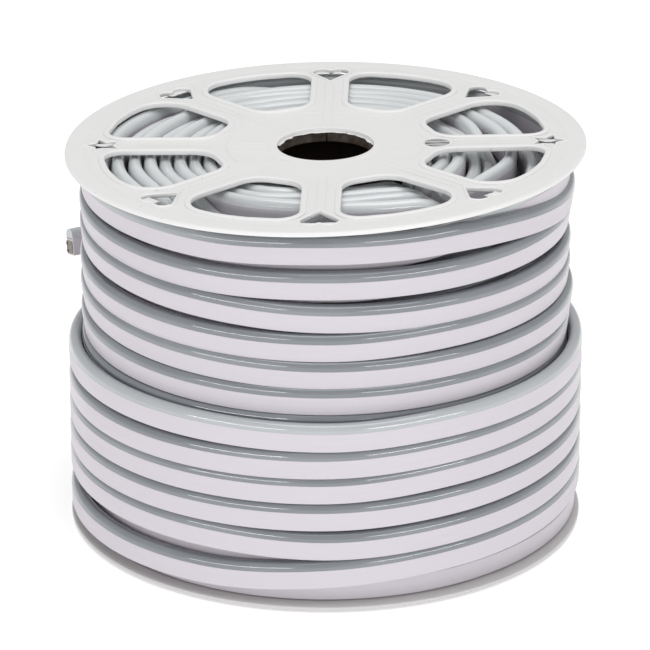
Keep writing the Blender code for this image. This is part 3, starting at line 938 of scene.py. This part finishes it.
def sweep_tree():
    """Geometry nodes that draw a section along a course, leaning as the course says."""
    tree = bpy.data.node_groups.new("sweep_strip", "GeometryNodeTree")
    sides = tree.interface
    for name, kind in (("Geometry", "Geometry"), ("Section", "Object"), ("Finish", "Material")):
        sides.new_socket(name=name, in_out="INPUT", socket_type="NodeSocket" + kind)
    sides.new_socket(name="Geometry", in_out="OUTPUT", socket_type="NodeSocketGeometry")
    given = add(tree, "NodeGroupInput").outputs
    course = add(tree, "GeometryNodeMeshToCurve")
    upright = add(tree, "GeometryNodeSetCurveNormal", mode="Z_UP")
    leaning = add(tree, "GeometryNodeSetCurveTilt")
    lean = add(tree, "GeometryNodeInputNamedAttribute", data_type="FLOAT")
    lean.inputs["Name"].default_value = "lean"
    picked = add(tree, "GeometryNodeObjectInfo")
    section = add(tree, "GeometryNodeMeshToCurve")
    sweep = add(tree, "GeometryNodeCurveToMesh")
    sweep.inputs["Fill Caps"].default_value = True
    real = add(tree, "GeometryNodeRealizeInstances")
    finish = add(tree, "GeometryNodeSetMaterial")
    feed(tree, given["Geometry"], course.inputs["Mesh"])
    feed(tree, course.outputs["Curve"], upright.inputs["Curve"])
    feed(tree, upright.outputs["Curve"], leaning.inputs["Curve"])
    feed(tree, lean.outputs["Attribute"], leaning.inputs["Tilt"])
    feed(tree, leaning.outputs["Curve"], sweep.inputs["Curve"])
    feed(tree, given["Section"], picked.inputs["Object"])
    feed(tree, picked.outputs["Geometry"], section.inputs["Mesh"])
    feed(tree, section.outputs["Curve"], sweep.inputs["Profile Curve"])
    feed(tree, sweep.outputs["Mesh"], real.inputs["Geometry"])
    feed(tree, real.outputs["Geometry"], finish.inputs["Geometry"])
    feed(tree, given["Finish"], finish.inputs["Material"])
    feed(tree, finish.outputs["Geometry"], add(tree, "NodeGroupOutput").inputs["Geometry"])
    return tree


def swept_strip(name, course, section, tree, material):
    """Runs the sweep on a course and keeps its result as a plain mesh."""
    modifier = course.modifiers.new("sweep", "NODES")
    modifier.node_group = tree
    sockets = {item.name: item.identifier for item in tree.interface.items_tree if item.in_out == "INPUT"}
    modifier[sockets["Section"]] = section
    modifier[sockets["Finish"]] = material
    bpy.context.view_layer.update()
    mesh = bpy.data.meshes.new_from_object(course.evaluated_get(bpy.context.evaluated_depsgraph_get()))
    course.modifiers.remove(modifier)
    work = bmesh.new()
    work.from_mesh(mesh)
    bmesh.ops.recalc_face_normals(work, faces=work.faces)
    work.to_mesh(mesh)
    work.free()
    return finished(name, mesh, material, 40)


def attribute(tree, name):
    return add(tree, "ShaderNodeAttribute", attribute_name=name).outputs["Fac"]


def strip_place(tree, stretch):
    """Place on the strip's skin: along it, drawn out by stretch, and round its section."""
    joint = add(tree, "ShaderNodeCombineXYZ")
    feed(tree, calculate(tree, "DIVIDE", attribute(tree, "along"), stretch), joint.inputs["X"])
    feed(tree, attribute(tree, "across"), joint.inputs["Y"])
    return joint.outputs["Vector"]


CHANNEL_WHITE = (0.570, 0.540, 0.580, 1)
CHANNEL_SHADE = (0.545, 0.515, 0.553, 1)
CHANNEL_SCUFF = (0.510, 0.490, 0.510, 1)
# The dome colours are painted light and shade: a dark painted shade, with milky patches, for domes covered by
# the turn above, and a light colour, painted light, for domes open to the light above
DOME_SHADED = (0.172, 0.188, 0.205, 1)
DOME_LIT = (0.655, 0.680, 0.690, 1)
DOME_SHADED_MILKY = (0.212, 0.228, 0.242, 1)


def channel_material():
    material, tree, shader = new_material("strip_channel")
    lines = noise(tree, strip_place(tree, 60.0), 900.0, 2.0)
    patches = noise(tree, strip_place(tree, 4.0), 60.0, 3.0)
    effects = grained(tree, place_of(tree), 1300.0, 60.0, 300.0)
    colour = mixed(tree, scaled_range(tree, lines, 0.35, 0.75, 0.0, 0.5), CHANNEL_WHITE, CHANNEL_SHADE)
    colour = mixed(tree, scaled_range(tree, patches, 0.55, 0.8, 0.0, 0.5), colour, CHANNEL_SHADE)
    colour = mixed(tree, calculate(tree, "MULTIPLY", effects["Specks"], 0.35), colour, CHANNEL_SCUFF)
    feed(tree, colour, shader.inputs["Base Color"])
    feed(tree, scaled_range(tree, patches, 0.3, 0.7, 0.36, 0.50), shader.inputs["Roughness"])
    shader.inputs["Specular IOR Level"].default_value = 0.4
    skin = calculate(tree, "ADD", lines, calculate(tree, "MULTIPLY", effects["Height"], 0.4))
    bump(tree, skin, 0.00004, 0.5, shader)
    return material


def dome_material():
    material, tree, shader = new_material("strip_dome")
    lines = noise(tree, strip_place(tree, 40.0), 700.0, 2.0)
    patches = noise(tree, strip_place(tree, 3.0), 45.0, 2.0)
    # Painted shade on covered domes, and painted light where the lit share says a dome lies open to the light
    # above
    closed = mixed(tree, scaled_range(tree, patches, 0.35, 0.7), DOME_SHADED, DOME_SHADED_MILKY)
    colour = mixed(tree, attribute(tree, "lit_share"), closed, DOME_LIT)
    feed(tree, colour, shader.inputs["Base Color"])
    feed(tree, scaled_range(tree, lines, 0.3, 0.7, 0.09, 0.14), shader.inputs["Roughness"])
    shader.inputs["Specular IOR Level"].default_value = 1.0
    waves = calculate(tree, "ADD", calculate(tree, "MULTIPLY", lines, 0.15), patches)
    bump(tree, waves, 0.0002, 0.2, shader)
    return material


strip_channel = channel_material()
strip_dome = dome_material()
sweep_nodes = sweep_tree()
channel_section = section_object("channel_section", channel_outline())
dome_section = section_object("dome_section", dome_outline())
inner_run = course_object("inner_run", inner_courses())
outer_line = outer_course()
outer_run = course_object("outer_run", [outer_line])
halves = ((channel_section, strip_channel, "channel"), (dome_section, strip_dome, "dome"))
for run, label in ((inner_run, "inner"), (outer_run, "outer")):
    for section, material, half in halves:
        piece = swept_strip("strip_" + label + "_" + half, run, section, sweep_nodes, material)
        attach(piece, "root")
        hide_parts("neon_flex_winding")
for used in (inner_run, outer_run, channel_section, dome_section):
    bpy.data.objects.remove(used, do_unlink=True)


# Cut end. Under the light face the channel is filled with a beige compound round the circuit ribbon,
# and the ends of the two wires that run along the strip show as dark dots at its outer side.
FILLING = (0.300, 0.275, 0.235, 1)
FILLING_DARK = (0.190, 0.170, 0.140, 1)
WIRE = (0.020, 0.016, 0.012, 1)
WIRE_LIGHT = (0.070, 0.055, 0.040, 1)
FILLING_SIDES = (-0.0030, 0.0037)
FILLING_HEIGHTS = (0.0010, 0.0086)
WIRE_SPOTS = ((0.0026, 0.0070), (0.0026, 0.0024))
WIRE_RADIUS = 0.0010


def grainy_material(name, first, second, scale, roughness):
    material, tree, shader = new_material(name)
    grains = noise(tree, place_of(tree), scale, 3.0, 0.6)
    colour = mixed(tree, scaled_range(tree, grains, 0.35, 0.65), first, second)
    feed(tree, colour, shader.inputs["Base Color"])
    shader.inputs["Roughness"].default_value = roughness
    bump(tree, grains, 0.0002, 0.6, shader)
    return material


cut_foot = outer_line["foot"][-1]
cut_lean = outer_line["lean"][-1]
turn = math.radians(TAIL_LEAVE_ANGLE)
forward = Vector((-math.sin(turn), math.cos(turn), 0))
outward = Vector((math.cos(turn), math.sin(turn), 0))
upward = Vector((0, 0, 1)) * math.cos(cut_lean) + outward * math.sin(cut_lean)
sideways = -(outward * math.cos(cut_lean) - Vector((0, 0, 1)) * math.sin(cut_lean))
cut_place = Matrix.Translation(cut_foot) @ Matrix((sideways, upward, forward)).transposed().to_4x4()
left, right = FILLING_SIDES
low, high = FILLING_HEIGHTS
sides = [(left, low), (right, low), (right, high), (left, high)]
filling_outline = rounded([(Vector((-x, y)), 0.0006, 4) for x, y in sides])
filling = plate([filling_outline], 0.0005, 0.0001)
wire_round = circle_outline(WIRE_RADIUS, 16)
wire_outlines = [[Vector((-x, y)) + spot for spot in wire_round] for x, y in WIRE_SPOTS]
wires = joined([plate([outline], 0.0008, 0.0002) for outline in wire_outlines])
end_pieces = (
    ("strip_filling", filling, grainy_material("strip_filling", FILLING, FILLING_DARK, 900.0, 0.7)),
    ("strip_conductor", wires, grainy_material("strip_conductor", WIRE, WIRE_LIGHT, 4000.0, 0.45)),
)
for slot, mesh, material in end_pieces:
    mesh.transform(cut_place)
    piece = finished("cut_end_" + slot, mesh, material)
    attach(piece, "root")
    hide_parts("neon_flex_winding")


# Floor and light. A pale sweep under the reel, a bright even surround, a broad lamp overhead, and two long
# low lamps at the front left and right, which draw the thin bright lines along the domes.
FLOOR_SIZE = 12.0
FLOOR_DROP = 0.0010         # the lower flange's beads stand a little below its rim band
FLOOR_COLOUR = (0.93, 0.93, 0.93, 1)
FLOOR_GLOW = 0.30         # as bright paper lit from behind
SURROUND = 0.64
# Name, place, point aimed at, width, height and watts of each lamp
LAMPS = (
    ("overhead", (0.1, -0.3, 1.9), (0.0, 0.0, 0.1), 1.5, 1.5, 15.0),
    ("front_left", (-1.54, -1.97, 0.42), (0.0, 0.0, 0.12), 2.0, 0.13, 12.0),
    ("front_right", (1.54, -1.97, 0.42), (0.0, 0.0, 0.12), 2.0, 0.13, 12.0),
)

floor_mesh = bpy.data.meshes.new("floor")
floor_work = bmesh.new()
bmesh.ops.create_grid(floor_work, x_segments=1, y_segments=1, size=FLOOR_SIZE / 2)
bmesh.ops.translate(floor_work, verts=floor_work.verts, vec=(0, 0, -FLOOR_DROP))
floor_work.to_mesh(floor_mesh)
floor_work.free()
floor_material, _, floor_shader = new_material("floor")
floor_looks = {
    "Base Color": FLOOR_COLOUR,
    "Roughness": 0.9,
    "Specular IOR Level": 0.0,
    "Emission Color": (1, 1, 1, 1),
    "Emission Strength": FLOOR_GLOW,
}
for name, value in floor_looks.items():
    floor_shader.inputs[name].default_value = value
floor_mesh.materials.append(floor_material)
floor = linked("floor", floor_mesh)

for name, place, aim, width, height, power in LAMPS:
    lamp_data = bpy.data.lights.new(name, "AREA")
    lamp_data.shape = "RECTANGLE"
    lamp_data.size = width
    lamp_data.size_y = height
    lamp_data.energy = power
    lamp = linked(name, lamp_data)
    lamp.location = place
    lamp.rotation_euler = (Vector(aim) - Vector(place)).to_track_quat("-Z", "Y").to_euler()

world = bpy.data.worlds.new("surround")
world.use_nodes = True
background = world.node_tree.nodes["Background"].inputs
background["Color"].default_value = (1, 1, 1, 1)
background["Strength"].default_value = SURROUND
bpy.context.scene.world = world
bpy.context.scene.view_settings.view_transform = "Standard"
